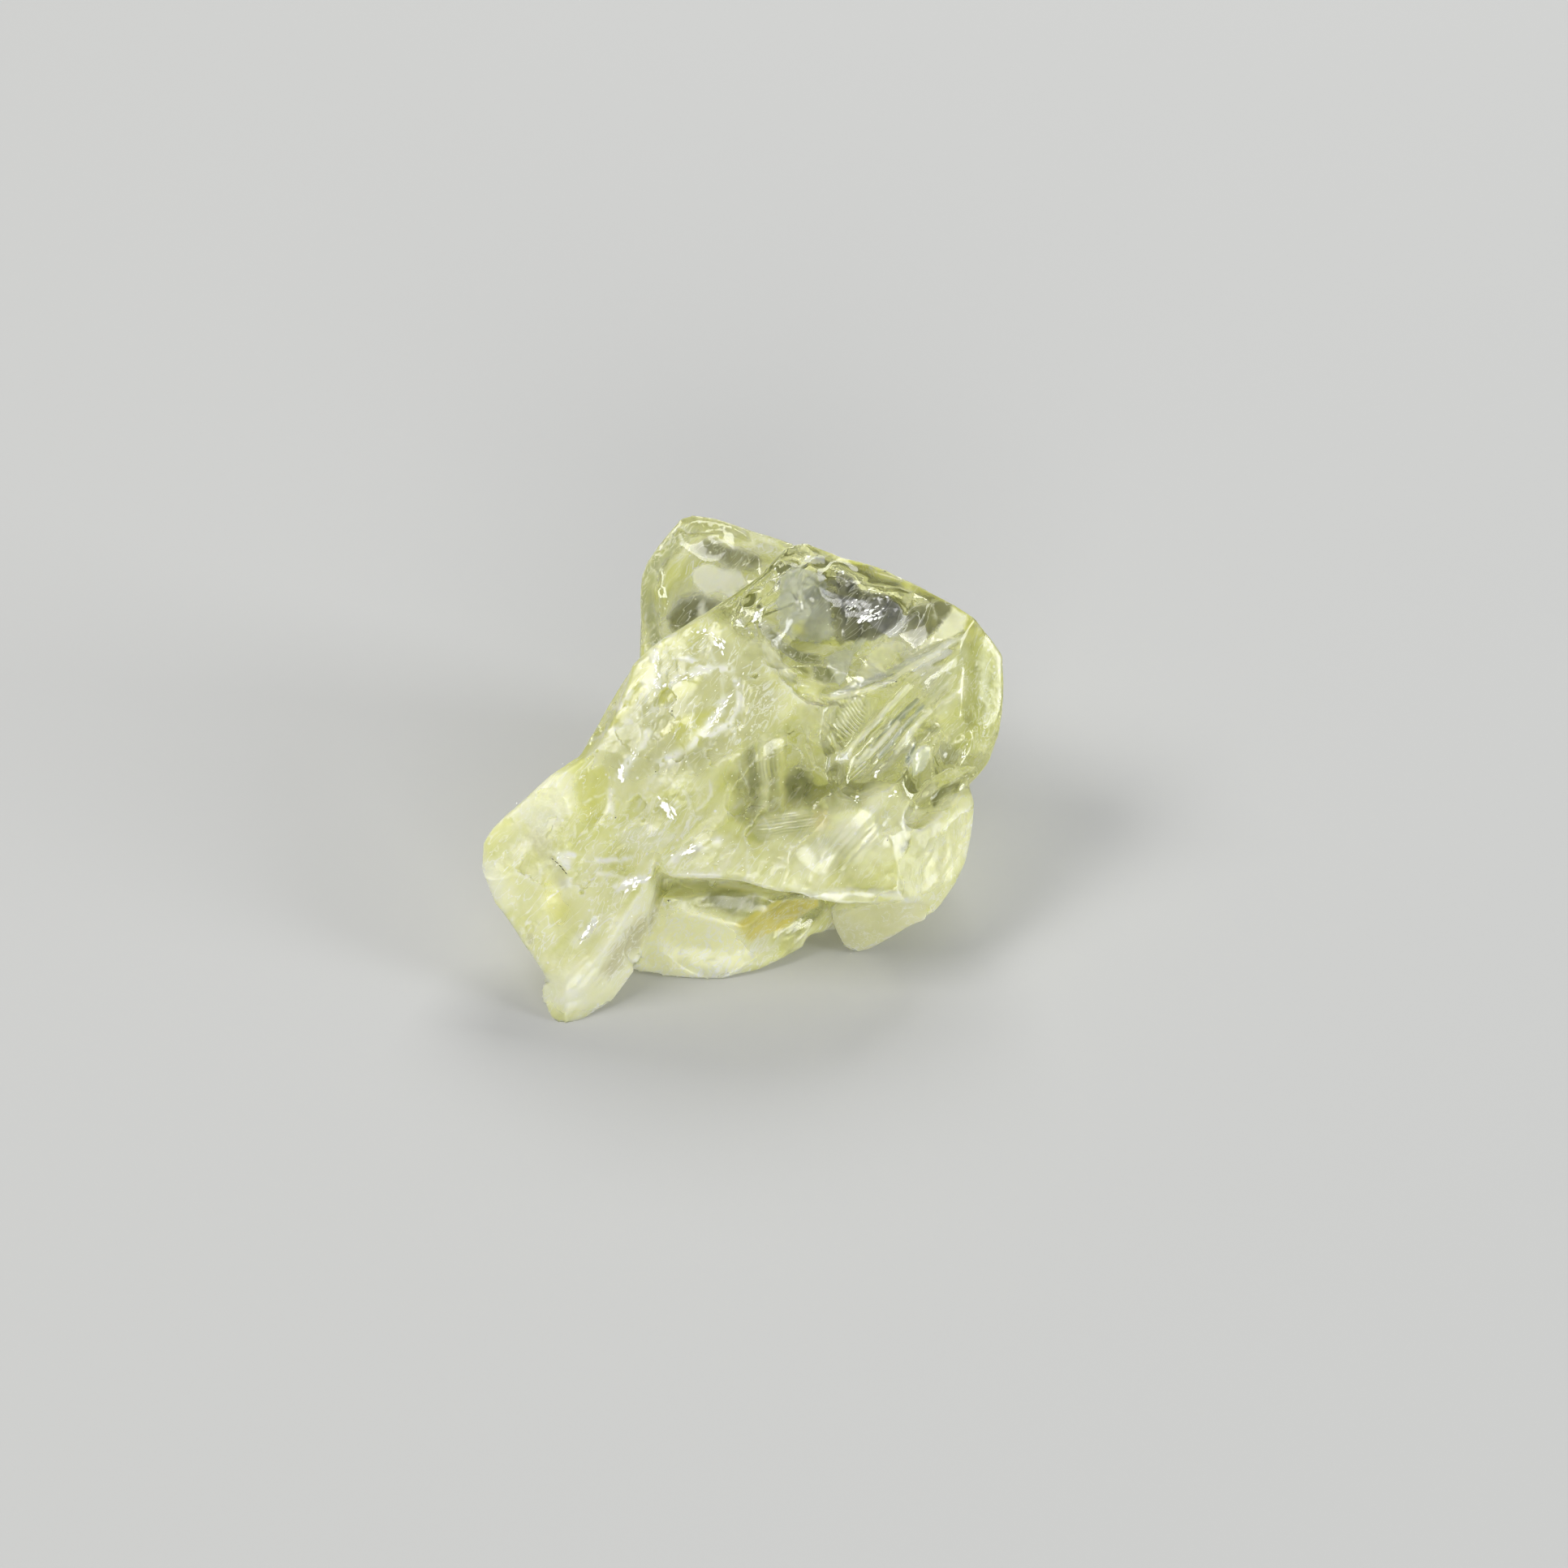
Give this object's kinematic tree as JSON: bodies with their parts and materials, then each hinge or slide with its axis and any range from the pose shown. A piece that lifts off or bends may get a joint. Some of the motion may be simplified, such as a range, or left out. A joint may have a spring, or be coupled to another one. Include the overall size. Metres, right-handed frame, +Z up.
{
  "type": "rough green quartz specimen",
  "caption": "Rough broken piece of pale green quartz, part clear and part milky, with shell-shaped scars all over and one flat patch that it rests on.",
  "frame": {"origin": "on the surface the stone rests on, under the middle of its bounding box", "axes": "+Z up; +X to the right seen from the broad leaning face, which looks along -Y; the stone is longest along X"},
  "size_m": [0.036, 0.0318, 0.0236],
  "materials": {
    "quartz": "clear to milky, glassy on fresh breaks and frosted on the rest"
  },
  "bodies": {
    "root": {"stone": "quartz"}
  },
  "joints": []
}
